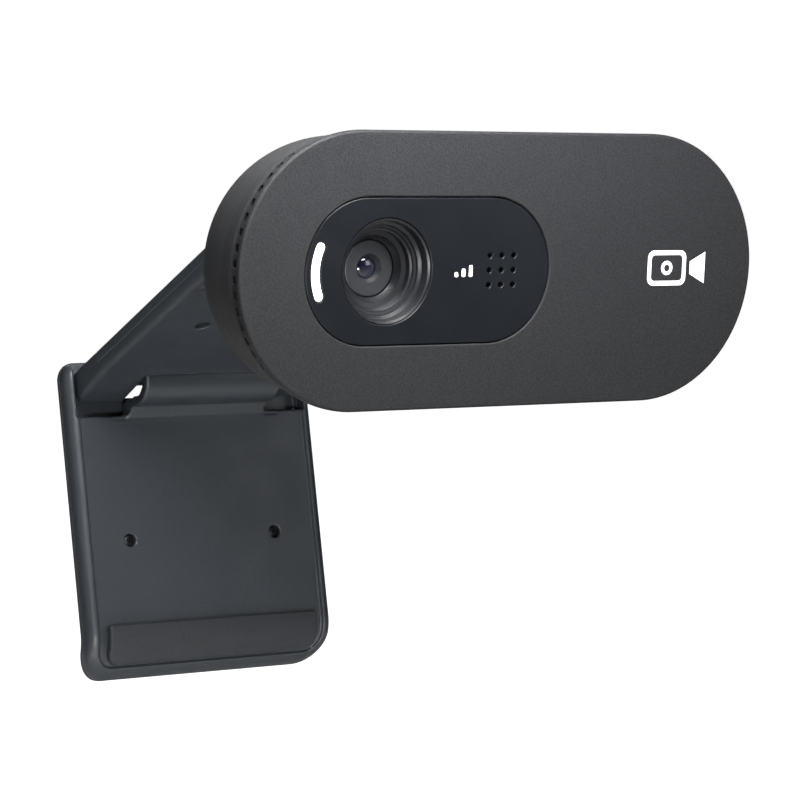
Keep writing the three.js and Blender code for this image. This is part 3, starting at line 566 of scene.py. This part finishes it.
def lens_parts():
    funnel = [(6.0, 0.3), (5.75, 0.42), (5.6, 1.45), (5.22, 1.62), (5.12, 1.9), (4.86, 1.98),
              (4.76, 2.2), (4.52, 2.3), (4.44, 2.95), (3.9, 3.1), (3.82, 3.3), (3.36, 3.85),
              (3.32, 4.1), (3.32, 4.9), (4.6, 4.9), (6.9, 3.3), (6.9, 1.75), (6.0, 1.75)]
    piece = object_of("lens_funnel_rings", lathe(funnel, LENS_X, steps=160))
    finish(piece, HEAD, "head", "funnel", ["lens_funnel"], crease=25)
    barrel = [(1.25, 5.2), (1.25, 4.5), (1.33, 4.34), (1.6, 4.12), (1.7, 3.92), (3.1, 3.92),
              (3.22, 3.98), (3.26, 4.1), (3.26, 8.3), (2.2, 8.3), (2.2, 5.3)]
    piece = object_of("lens_barrel_ring", lathe(barrel, LENS_X, steps=128))
    finish(piece, HEAD, "head", "barrel", ["lens_barrel"], crease=25)
    turns = [math.pi / 2 * i / 10 for i in range(11)]
    dome = [(1.24 * math.sin(a), 4.75 - 0.42 * math.cos(a)) for a in turns]
    dome[0] = (0.0, dome[0][1])
    glass = dome + [(1.24, 5.22), (2.0, 5.32), (2.0, 5.7), (0.0, 5.4)]
    piece = object_of("front_lens_glass", lathe(glass, LENS_X, steps=96, closed=False))
    finish(piece, HEAD, "head", "glass", ["front_lens"], crease=30)


def dome_rings(wall):
    """The housing's band and dome, outside (wall 0) or inside."""
    rings = []
    for i in range(41):
        a = math.pi / 2 * i / 40
        inset = HOUSING_INSET + BAND_TAPER + wall + (DOME_INSET - wall / 2) * (1 - math.cos(a))
        rings.append(head_ring(inset, BAND_END + (HEAD_DEPTH - wall - BAND_END) * math.sin(a)))
    return rings


def well(x, radius, low, high):
    """A round cutter along Y."""
    return lathe([(0, low), (radius, low), (radius, high), (0, high)], x, steps=64, closed=False)


def rear_housing():
    rings = [head_ring(0.6, STRIP_END), head_ring(0.5, STRIP_END + 0.04), head_ring(0.45, STRIP_END + 0.15)]
    for y in (3.2, 4.1):
        along = (y - STRIP_END) / (BAND_END - STRIP_END)
        rings.append(head_ring(HOUSING_INSET + BAND_TAPER * along ** 2, y))
    piece = object_of("rear_housing_shell", bmesh_of(rings + dome_rings(0.0), cap=True))
    hollow = object_of("hollow", bmesh_of([head_ring(2.1, 1.0)] + dome_rings(HOUSING_WALL), cap=True))
    sides = [side * SCREW_X for side in (-1, 1)]
    cut(hollow, [well(x, 3.3, SCREW_SEAT - 1.4, HEAD_DEPTH + 2) for x in sides])
    room = bmesh.new()
    room.from_mesh(hollow.data)
    bpy.data.objects.remove(hollow)
    cut(piece, [room])
    cut(piece, [well(x, 2.3, SCREW_SEAT, 30) for x in sides] + [well(GROMMET_X, 2.9, 15, 30)])
    finish(piece, HEAD, "head", "housing", ["rear_housing"])


def screw_mesh(head_r, shank_r, length_mm):
    """A pan-head screw with a cross recess: seat at y = 0, tip towards -Y."""
    h = head_r * 0.55
    turns = [math.pi / 2 * i / 8 for i in range(9)]
    crown = [(head_r * math.cos(a), h * 0.25 + h * 0.75 * math.sin(a)) for a in turns]
    crown[-1] = (0.0, h)
    profile = [(0.0, -length_mm), (shank_r * 0.55, -length_mm), (shank_r, -length_mm + 0.8),
               (shank_r, 0.0), (head_r * 0.96, 0.0), (head_r, h * 0.1)] + crown
    piece = object_of("screw", lathe(profile, steps=48, closed=False))
    arms = []
    for long_x in (True, False):
        bm = bmesh.new()
        bmesh.ops.create_cube(bm, size=1.0)
        size = (head_r * 1.2, h * 1.2, head_r * 0.26)
        bmesh.ops.scale(bm, vec=size if long_x else size[::-1], verts=bm.verts)
        low = [v for v in bm.verts if v.co.y < 0]
        bmesh.ops.scale(bm, vec=(0.5, 1, 0.5), verts=low)
        bmesh.ops.translate(bm, vec=(0, h * 1.0 + h * 0.02, 0), verts=bm.verts)
        arms.append(bm)
    cut(piece, arms[:1])
    cut(piece, arms[1:])
    return piece


def screws():
    """Every screw, at the place of its CAD node."""
    turn_up = Matrix.Rotation(math.pi, 4, "X")
    turn_arm = Matrix.Rotation(-math.pi / 2, 4, "X")
    straight = Matrix.Identity(4)
    table = [
        ("housing_screw", HEAD, (SCREW_X, SCREW_SEAT + 0.1, 0.0), straight, (2.0, 0.7, 8.0), "head", "steel"),
        ("yoke_screw", HEAD, (YOKE_SCREW_X, HEAD_DEPTH + 1.55, YOKE_SCREW_Z), straight,
         (1.5, 0.7, 5.0), "head", "black_screw"),
        ("arm_screw", ARM, (ARM_SCREW_X, 0.0, 1.15), turn_arm, (0.9, 0.45, 1.6), "arm", "black_screw"),
        ("flap_screw", FLAP, (FLAP_SCREW_X, 3.05, FLAP_SCREW_Z), turn_up,
         (0.78, 0.5, 1.7), "flap", "black_screw"),
    ]
    for stem, place, (x, y, z), turn, size, body, material in table:
        for side, word in ((-1, "left"), (1, "right")):
            piece = screw_mesh(*size)
            piece.name = f"{stem}_{word}_head"
            matrix = place @ Matrix.Translation((side * x, y, z)) @ turn
            matrix = matrix @ Matrix.Rotation(0.3 + 0.5 * side, 4, "Y")
            finish(piece, matrix, body, material, [f"{stem}_{word}"], crease=30)


def grommet():
    top = HEAD_DEPTH
    profile = [(1.75, 14.7), (3.1, 14.7), (3.1, top - 1.9), (2.6, top - 1.8), (2.6, top + 0.3),
               (3.5, top + 0.32), (3.58, top + 0.5), (3.5, top + 0.8), (3.2, top + 1.3), (3.0, top + 1.45),
               (3.0, top + 1.6), (3.1, top + 1.7), (2.9, top + 1.85), (2.75, top + 1.95),
               (2.75, top + 2.1), (2.6, top + 2.35), (1.9, top + 2.4), (1.75, top + 2.3)]
    piece = object_of("cable_grommet_rings", lathe(profile, GROMMET_X, steps=96))
    finish(piece, HEAD, "head", "rubber", ["cable_grommet"], crease=40)


def tilt_hinge():
    base_y, axis_y, axis_z = HEAD_DEPTH + 0.1, 26.5, 5.8

    def solid(x, y, z):
        base = both(rectangle(x, z, -9.6, 9.6, -3.6, 5.2, 1.5), span(y, base_y, base_y + 1.4), 0.35)
        flank = taper(y, z, (base_y + 1.5, axis_z - 0.2), (axis_y, axis_z), 2.7, KNUCKLE_R)
        flank = both(flank, base_y + 0.3 - y, 0.1)
        cheek = both(flank, span(np.abs(x), 6.7, 9.6), 0.45)
        body = blend(base, cheek, 0.9)
        bore = np.hypot(y - axis_y, z - axis_z) - 1.15
        body = without(body, bore, 0.15)
        from_screw = np.hypot(np.abs(x) - YOKE_SCREW_X, z - YOKE_SCREW_Z)
        head_room = np.maximum(from_screw - 1.75, base_y + 1.4 - y)
        return without(without(body, from_screw - 0.95, 0.1), head_room, 0.1)

    piece = surface("tilt_yoke_moulding", solid, (-9.6, 18, -3.7), (9.6, 29.4, 8.7), 0.17)
    finish(piece, HEAD, "head", "arm", ["tilt_yoke"], crease=0)

    def along_x(profile, name, replaced, body="head"):
        bm = lathe(profile, steps=64, closed=True)
        sideways = Matrix.Rotation(-math.pi / 2, 3, "Z")
        bmesh.ops.rotate(bm, cent=(0, 0, 0), matrix=sideways, verts=bm.verts)
        bmesh.ops.translate(bm, vec=(0, axis_y, axis_z), verts=bm.verts)
        finish(object_of(name, bm), HEAD, body, "steel", [replaced], crease=30)

    half = 9.8
    pin = [(0.0001, -half), (0.8, -half), (1.0, -half + 0.2)]
    pin += [(r, -y) for r, y in reversed(pin)]
    along_x(pin, "tilt_pin_rod", "tilt_pin")
    for side, word in ((-1, "left"), (1, "right")):
        x0, x1 = sorted((side * 6.15, side * 6.55))
        ring = [(1.06, x0), (2.3, x0), (2.4, x0 + 0.1), (2.4, x1 - 0.1), (2.3, x1), (1.06, x1)]
        along_x(ring, f"tilt_washer_{word}_ring", f"tilt_washer_{word}")


# ---------------------------------------------------------------- arm
def arm_outline(x, s, w):
    """The whole arm, before it is split into its base and its cover."""
    plan = rectangle(x, s, -ARM_HALF, ARM_HALF, ARM_FRONT, 60.0, 3.0)
    rise = np.clip((s - 12.0) / 10.0, 0, 1)
    under = -EAR_DROP * rise * rise * (3 - 2 * rise)
    body = np.maximum(both(plan, under - w, 0.9), both(plan, w - ARM_THICK, 0.45))
    tip = rectangle(x, s, -ARM_HALF, ARM_HALF, -60.0, FOLD_S + EAR_R, 2.3)
    tip = np.maximum(tip, np.where(s > FOLD_S, np.hypot(s - FOLD_S, w - FOLD_W) - EAR_R, -9.0))
    body = both(body, tip, 0.4)
    ring = np.minimum(np.hypot(s - FOLD_S, w - FOLD_W) - (ROLL_R + 0.3), FOLD_S - s)
    room = np.maximum(np.abs(x - ROLL_X) - CUT_OUT_HALF, ring)
    return without(body, room, 0.35)


def arm_base():
    def solid(x, s, w):
        whole = arm_outline(x, s, w)
        body = np.maximum(whole, np.minimum(w - ARM_SPLIT, EAR_FRONT + 0.02 - s))
        tongue = np.maximum(whole + 0.05, np.minimum(w - ARM_SPLIT - 0.4, EAR_FRONT - 0.4 - s))
        body = np.minimum(body, tongue)
        neck = taper(s, w, (TILT_S, TILT_W), (ARM_FRONT + 1.5, 1.6), 2.6, 1.6)
        neck = both(np.maximum(neck, s + 16.0), span(x, -6, 6), 0.5)
        lip = rectangle(x, w, -14.2, 14.2, -7.0, 3.0, 1.6)
        lip = both(lip, span(s, ARM_FRONT + 0.3, ARM_FRONT + 2.0), 0.75)
        lip = np.maximum(lip, w - ARM_SPLIT)
        body = blend(blend(body, lip, 1.0), neck, 0.9)
        body = without(body, np.hypot(s - TILT_S, w - TILT_W) - 1.1, 0.12)
        hole = np.hypot(np.abs(x) - ARM_SCREW_X, s)
        return without(body, np.maximum(hole - 1.0, w - 1.2), 0.1)

    piece = surface("arm_base_moulding", solid, (-17.3, -33.8, -7.1), (17.3, 23.0, 4.8), 0.22)
    finish(piece, ARM, "arm", "arm", ["arm_base"], crease=0)
    mark = [(0.42, -0.2), (0.42, 0.06), (0.5, 0.13), (0.6, 0.13), (0.68, 0.06), (0.68, -0.2)]
    piece = object_of("arm_mould_mark", lathe(mark, steps=48))
    place = ARM @ Matrix.Translation((-15.35, -11.5, 0)) @ Matrix.Rotation(-math.pi / 2, 4, "X")
    finish(piece, place, "arm", "arm")


def arm_cover():
    def solid(x, s, w):
        body = np.maximum(arm_outline(x, s, w), ARM_SPLIT + 0.02 - w)
        body = np.maximum(body, s - EAR_FRONT)
        neck = both(span(x, -6.3, 6.3), s - (ARM_FRONT + 1.3), 0.3)
        return without(body, neck, 0.15)

    piece = surface("arm_cover_moulding", solid, (-17.3, -19.1, 1.5), (17.3, 14.7, 3.3), 0.22)
    finish(piece, ARM, "arm", "arm", ["arm_cover"], crease=0)


def lip_pad():
    def solid(x, s, w):
        face = rectangle(x, w, -11, 11, -6.4, -0.3, 0.6)
        return both(face, span(s, ARM_FRONT + 1.9, ARM_FRONT + 3.3), 0.3)

    piece = surface("lip_pad_rubber", solid, (-11, -17.2, -6.4), (11, -15.7, -0.3), 0.15)
    finish(piece, ARM, "arm", "rubber", ["lip_pad"], crease=0)


# ---------------------------------------------------------------- flap
FLAP_HALF, FLAP_LOW, FLAP_HIGH = 18.7, -38.7, 3.2
FLAP_FRONT, FLAP_BACK, FLAP_SPLIT = 1.8, 5.5, 3.8
CURL, CURL_START, CURL_RUN = 3.6, 32.5, 6.2
PAD_HALF, PAD_LOW, PAD_HIGH = 15.9, -37.0, -31.8


def flap_curl(z):
    """How far the flap's low end bends back."""
    past = np.clip((-z - CURL_START) / CURL_RUN, 0, 1.2)
    return CURL * past * past


def flap_edge(x, z, margin=0.0):
    """Distance to the flap's outline: small round corners above, large ones below."""
    half = FLAP_HALF - margin
    upper = rectangle(x, z, -half, half, FLAP_LOW - 30, FLAP_HIGH - margin, 2.6)
    lower = rectangle(x, z, -half, half, FLAP_LOW + margin, FLAP_HIGH + 30, 4.1 - margin)
    return np.maximum(upper, lower)


def flap_body(x, y, z):
    depth = y - flap_curl(z)
    body = both(flap_edge(x, z), span(depth, FLAP_FRONT, FLAP_BACK), 1.45)
    dish = both(flap_edge(x, z, 1.5), depth - (FLAP_FRONT + 0.5), 0.2)
    return without(body, dish, 0.35)


def flap_room(x, y, z):
    """Where the arm's fingers and its cut-out around the roll need room."""
    across = np.abs(x) - FINGER_REACH
    round_room = both(np.hypot(y, z) - (EAR_R + 0.3), across, 0.2)
    front_room = np.maximum(np.maximum(across, y - (EAR_R + 0.3)), -4.4 - z)
    back_room = np.maximum(np.abs(x - ROLL_X) - CUT_OUT_HALF, WALL_TOP - z)
    return np.minimum(np.minimum(round_room, front_room), back_room)


def flap_front():
    def solid(x, y, z):
        body = np.maximum(flap_body(x, y, z), y - flap_curl(z) - FLAP_SPLIT)
        body = without(body, flap_room(x, y, z), 0.3)
        roll = both(np.hypot(y, z) - ROLL_R, span(x, ROLL_X - ROLL_HALF, ROLL_X + ROLL_HALF), 0.35)
        roll = without(roll, np.maximum(0.4 - y, -2.6 - z), 0.2)
        roll = np.maximum(roll, 2.2 - np.hypot(y, z))
        web = rectangle(y, z, 0.4, FLAP_SPLIT, -4.7, -2.6, 0.3)
        web = both(web, span(x, ROLL_X - ROLL_HALF, ROLL_X + ROLL_HALF), 0.3)
        web = np.maximum(web, 2.2 - np.hypot(y, z))
        body = blend(body, blend(roll, web, 1.2), 0.9)
        swing = np.maximum(np.maximum(ROLL_R + 0.1 - np.hypot(y, z), (y + z + 2.5) * 0.71), -4.9 - z)
        body = without(body, np.maximum(swing, np.abs(x - ROLL_X) - 12.5), 0.2)
        fingers = np.maximum(np.hypot(y, z) - EAR_R - 0.15, ROLL_HALF + 0.08 - np.abs(x - ROLL_X))
        body = np.maximum(body, -np.maximum(fingers, np.abs(x) - FINGER_REACH))
        hole = np.hypot(np.abs(x) - FLAP_SCREW_X, z - FLAP_SCREW_Z)
        return without(body, np.maximum(hole - 0.85, y - 3.4), 0.15)

    piece = surface("flap_front_moulding", solid, (-18.8, -3.5, -38.8), (18.8, 8.4, 3.5), 0.22)
    finish(piece, FLAP, "flap", "arm", ["flap_face"], crease=0)


def flap_back():
    def solid(x, y, z):
        body = np.maximum(flap_body(x, y, z), FLAP_SPLIT + 0.05 - y + flap_curl(z))
        return without(body, flap_room(x, y, z), 0.3)

    piece = surface("flap_back_moulding", solid, (-18.8, 3.6, -38.8), (18.8, 10.4, 3.5), 0.25)
    finish(piece, FLAP, "flap", "arm", ["flap_back_cover"], crease=0)


def grip_pad():
    def solid(x, y, z):
        depth = y - flap_curl(z)
        upper = rectangle(x, z, -PAD_HALF, PAD_HALF, -80.0, PAD_HIGH, 0.4)
        lower = rectangle(x, z, -PAD_HALF, PAD_HALF, PAD_LOW, 40.0, 1.9)
        return both(np.maximum(upper, lower), span(depth, 1.2, 2.35), 0.3)

    piece = surface("grip_pad_rubber", solid, (-15.9, 1.0, -37.1), (15.9, 5.6, -31.7), 0.14)
    finish(piece, FLAP, "flap", "rubber", ["grip_pad"], crease=0)


# ---------------------------------------------------------------- printed pictograms
def soft_block(x0, x1, z0, z1, r, steps=6):
    points = []
    left, right, low, high = x0 + r, x1 - r, z0 + r, z1 - r
    for cx, cz, start in ((right, high, 0), (left, high, 90), (left, low, 180), (right, low, 270)):
        for i in range(steps + 1):
            a = math.radians(start + 90 * i / steps)
            points.append((cx + r * math.cos(a), cz + r * math.sin(a)))
    return points


def pictograms():
    """A plain camera sign on the cover, and a rising-bars sign beside the sound holes."""
    signs = {
        "print_camera_case": [
            soft_block(20.6, 26.4, -2.1, 2.1, 0.9), soft_block(21.15, 25.85, -1.55, 1.55, 0.5)],
        "print_camera_horn": [[(27.0, -0.75), (29.3, -1.9), (29.3, 1.9), (27.0, 0.75)]],
        "print_camera_lens": [circle(23.5, 0, 0.85, 40), circle(23.5, 0, 0.42, 32)],
    }
    for i, tall in enumerate((0.55, 0.95, 1.35)):
        x = -7.4 + i * 1.0
        signs[f"print_bar_{i}"] = [soft_block(x, x + 0.5, -0.75, -0.75 + tall, 0.15)]
    for name, outlines in signs.items():
        on_panel = name.startswith("print_bar")
        y = 0.12 if on_panel else 0.0
        piece = plate(name, outlines, y - 0.012, y + 0.03, 0.004)
        finish(piece, HEAD, "head", "print")


# ---------------------------------------------------------------- everything
front_cover()
lens_panel()
status_light()
lens_parts()
rear_housing()
screws()
grommet()
tilt_hinge()
arm_base()
arm_cover()
lip_pad()
flap_front()
flap_back()
grip_pad()
pictograms()

CARRIED = {
    "lens_holder": "barrel", "rear_lens": "glass", "infrared_filter": "glass", "image_sensor": "chip",
    "camera_board": "board", "status_led": "light", "processor_chip": "chip", "clock_crystal": "can",
    "microphone_capsule": "can", "microphone_boot": "rubber", "cable_socket": "white",
    "fold_pin": "steel", "fold_sleeve": "barrel",
}
for node, material in CARRIED.items():
    cad = frame["nodes"][node]
    cad.data.materials.clear()
    cad.data.materials.append(M[material])


# ---------------------------------------------------------------- studio
FLOOR_DROP = 0.052
FLOOR_GLOW, WORLD_GLOW = 0.05, 0.02


def studio():
    """Floor and background look white to the camera, and give the object only a little light."""
    bpy.context.scene.view_settings.view_transform = "Standard"
    floor_z = CAD_BOX[0][2] - FLOOR_DROP
    bm = bmesh.new()
    bmesh.ops.create_grid(bm, x_segments=1, y_segments=1, size=60.0)
    floor = object_of("floor", bm)
    floor.location.z = floor_z
    mat, nodes, links, bsdf = blank("pale_floor")
    bsdf.inputs["Base Color"].default_value = (0.88, 0.88, 0.88, 1)
    bsdf.inputs["Roughness"].default_value = 0.9
    bsdf.inputs["Specular IOR Level"].default_value = 0.1
    bsdf.inputs["Emission Color"].default_value = (1, 1, 1, 1)
    seen, path = nodes.new("ShaderNodeMapRange"), nodes.new("ShaderNodeLightPath")
    seen.inputs["To Min"].default_value = FLOOR_GLOW
    seen.inputs["To Max"].default_value = 1.0
    links.new(path.outputs["Is Camera Ray"], seen.inputs["Value"])
    links.new(seen.outputs["Result"], bsdf.inputs["Emission Strength"])
    floor.data.materials.append(mat)
    world = bpy.data.worlds.new("studio")
    world.use_nodes = True
    bpy.context.scene.world = world
    nodes, links = world.node_tree.nodes, world.node_tree.links
    seen, lit = nodes["Background"], nodes.new("ShaderNodeBackground")
    seen.inputs["Color"].default_value = (1, 1, 1, 1)
    lit.inputs["Color"].default_value = (0.97, 0.985, 1, 1)
    lit.inputs["Strength"].default_value = WORLD_GLOW
    path, mix = nodes.new("ShaderNodeLightPath"), nodes.new("ShaderNodeMixShader")
    links.new(path.outputs["Is Camera Ray"], mix.inputs["Fac"])
    links.new(lit.outputs["Background"], mix.inputs[1])
    links.new(seen.outputs["Background"], mix.inputs[2])
    links.new(mix.outputs["Shader"], nodes["World Output"].inputs["Surface"])
    lamps = [
        ("key", (-0.02, -0.085, 0.075), (0, -0.052, 0.012), 0.10, 0.03, 0.46),
        ("low_front", (-0.20, -0.45, -0.12), (0, 0, -0.02), 0.15, 0.15, 4.4),
        ("right_front", (0.35, -0.5, 0.15), (0, 0, 0), 0.2, 0.2, 0.25),
        ("left", (-0.5, -0.1, 0.15), (0, 0, 0), 0.25, 0.25, 0.20),
        ("rear", (0.10, 0.45, 0.35), (0, 0, 0), 0.35, 0.35, 0.6),
        ("under", (-0.03, -0.04, -0.095), (0, 0.013, -0.012), 0.08, 0.03, 0.02),
    ]
    for name, place, target, wide, tall, power in lamps:
        data = bpy.data.lights.new(name, "AREA")
        data.shape = "RECTANGLE"
        data.size, data.size_y = wide, tall
        data.energy = power
        lamp = bpy.data.objects.new(name, data)
        bpy.context.scene.collection.objects.link(lamp)
        lamp.location = place
        lamp.rotation_euler = (Vector(target) - Vector(place)).to_track_quat("-Z", "Y").to_euler()
        lamp.visible_camera = False


studio()
